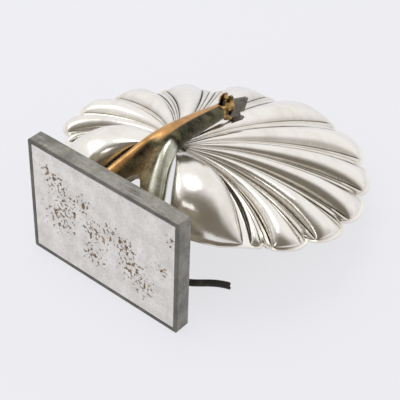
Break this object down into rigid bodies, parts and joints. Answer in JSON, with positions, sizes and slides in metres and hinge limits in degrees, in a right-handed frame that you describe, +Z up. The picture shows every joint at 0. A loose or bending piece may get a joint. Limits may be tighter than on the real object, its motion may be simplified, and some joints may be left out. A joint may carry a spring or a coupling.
{
  "type": "shell-shade wall light",
  "caption": "Wall light with a tilting fluted silver shell shade on a forked brass arm, a rectangular wall box, an electric candle lampholder under the shell and a short flat flex.",
  "frame": {"origin": "middle of the box's wall face, in the plane of the wall", "axes": "+Z up, +Y into the wall, the light stands out along -Y"},
  "size_m": [0.239, 0.2565, 0.1004],
  "materials": {
    "lead_grey_metal": "dull, scratched",
    "zinc_sheet": "mottled matt zinc coat with brown glue specks",
    "dull_bronze": "dull",
    "worn_brass": "polished brass with dark and silvery patina",
    "silver_plate": "polished silver plate, tarnished in the grooves",
    "dark_steel": "dark, matt",
    "black_bakelite": "satin",
    "porcelain": "glazed",
    "black_rubber": "matt",
    "flex_sheath": "satin"
  },
  "bodies": {
    "bracket": {"wall_box": "lead_grey_metal", "back_sheet": "zinc_sheet", "front_plate": "dull_bronze", "arm": "worn_brass", "arm_studs": "dark_steel", "arm_washers": "dark_steel", "arm_nuts": "dark_steel", "arm_knuckle": "worn_brass", "pivot_pin": "dark_steel", "friction_washers": "dark_steel", "cord_bush": "black_rubber", "cord": "flex_sheath", "flex_tail": "flex_sheath", "cord_clamp": "dark_steel", "clamp_screws": "dark_steel", "terminal_block": "porcelain", "terminal_screws": "worn_brass"},
    "shade": {"shell": "silver_plate", "pivot_blade": "dark_steel", "holder_bracket": "dark_steel", "holder_nipple": "worn_brass", "nipple_nut": "worn_brass", "holder_cap": "black_bakelite", "holder_skirt": "black_bakelite", "holder_thread": "worn_brass", "holder_insulator": "porcelain", "holder_contact": "worn_brass"}
  },
  "joints": [
    {"name": "shade_tilt", "type": "hinge", "parent": "bracket", "child": "shade", "pos_m": [0, -0.1335, 0.036], "axis": [-1, 0, 0], "range_deg": [0, 15]}
  ]
}
